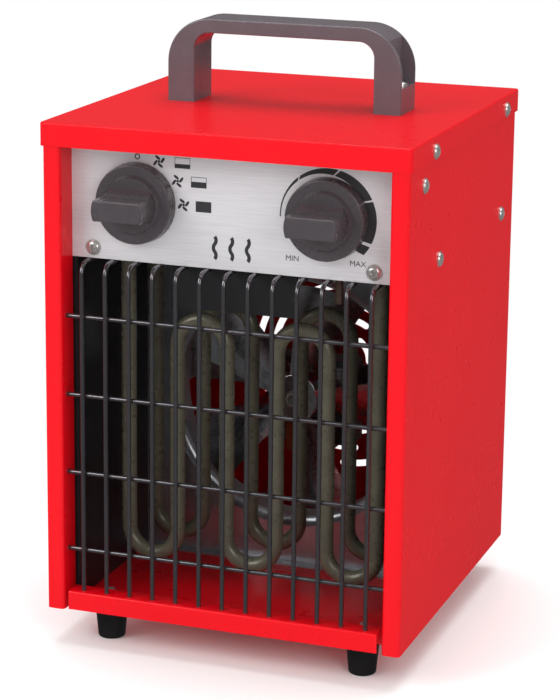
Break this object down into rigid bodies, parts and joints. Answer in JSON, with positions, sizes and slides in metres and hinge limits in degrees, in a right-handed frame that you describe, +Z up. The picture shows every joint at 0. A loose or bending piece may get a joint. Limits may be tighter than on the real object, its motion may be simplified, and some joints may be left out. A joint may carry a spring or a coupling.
{
  "type": "electric fan heater",
  "caption": "Portable box-shaped electric space heater with a wire guard, serpentine heating elements, a fan behind them, control knobs and a carrying handle.",
  "frame": {"origin": "centre of the heater's footprint (its bounding box seen from above), on the surface it stands on", "axes": "+X to the right of someone facing the front, +Y towards the back, +Z up"},
  "size_m": [0.2476, 0.2828, 0.401],
  "materials": {
    "red_paint": "smooth gloss red powder coat",
    "brushed_panel": "vertically brushed, satin",
    "galvanised": "bright zinc-coated sheet",
    "dark_plate": "heat-darkened coated sheet",
    "guard_wire": "nickel-plated drawn wire",
    "element_sheath": "annealed grey-brown sheath",
    "zinc_screw": "bright zinc plate",
    "dark_plastic": "fine matt moulding",
    "handle_plastic": "fine matt moulding",
    "foot_rubber": "matt black rubber",
    "control_plastic": "plain moulded resin",
    "ceramic": "glazed white ceramic",
    "fan_metal": "plain rolled sheet",
    "core_steel": "stacked laminations",
    "copper_coil": "varnished copper winding",
    "brass": "turned brass",
    "shaft_steel": "ground steel",
    "bulb_copper": "drawn copper"
  },
  "bodies": {
    "casing": {"side_panel_left": "red_paint", "side_panel_right": "red_paint", "top_cover": "red_paint", "base_tray": "red_paint", "back_panel": "red_paint", "control_panel": "brushed_panel", "partition": "galvanised", "shield_plate": "dark_plate", "front_guard": "guard_wire", "heating_element_front": "element_sheath", "heating_element_back": "element_sheath", "element_nuts": "brass", "terminal_insulators": "ceramic", "terminal_studs": "zinc_screw", "duct_liner_left": "galvanised", "duct_liner_right": "galvanised", "fan_shroud": "galvanised", "motor_core": "core_steel", "motor_coil": "copper_coil", "motor_bracket_front": "galvanised", "motor_bracket_back": "galvanised", "motor_strap": "galvanised", "motor_screws": "zinc_screw", "motor_nuts": "zinc_screw", "motor_spacers": "zinc_screw", "mode_switch": "control_plastic", "thermostat": "control_plastic", "thermostat_bulb": "bulb_copper", "thermal_cutout": "ceramic", "terminal_block": "control_plastic", "cable_gland": "dark_plastic", "gland_nut": "dark_plastic", "handle": "handle_plastic", "handle_screws": "zinc_screw", "handle_nuts": "zinc_screw", "foot_front_left": "foot_rubber", "foot_front_right": "foot_rubber", "foot_back_left": "foot_rubber", "foot_back_right": "foot_rubber", "foot_screws": "zinc_screw", "foot_nuts": "zinc_screw", "panel_screws": "zinc_screw", "side_screws": "zinc_screw", "cap_screws": "zinc_screw", "back_screws": "zinc_screw"},
    "mode_control": {"mode_knob": "dark_plastic", "mode_shaft": "shaft_steel"},
    "thermostat_control": {"thermostat_knob": "dark_plastic", "thermostat_shaft": "shaft_steel"},
    "fan_rotor": {"fan": "fan_metal", "fan_nut": "zinc_screw", "motor_shaft": "shaft_steel", "motor_rotor": "core_steel"}
  },
  "joints": [
    {"name": "mode_knob_turn", "type": "hinge", "parent": "casing", "child": "mode_control", "pos_m": [-0.063, -0.1166, 0.2957], "axis": [0, 1, 0], "range_deg": [-90, 0]},
    {"name": "thermostat_knob_turn", "type": "hinge", "parent": "casing", "child": "thermostat_control", "pos_m": [0.063, -0.1166, 0.2957], "axis": [0, 1, 0], "range_deg": [-225, 45]},
    {"name": "fan_spin", "type": "hinge", "parent": "casing", "child": "fan_rotor", "pos_m": [0, 0.0224, 0.142], "axis": [0, 1, 0], "continuous": true}
  ]
}
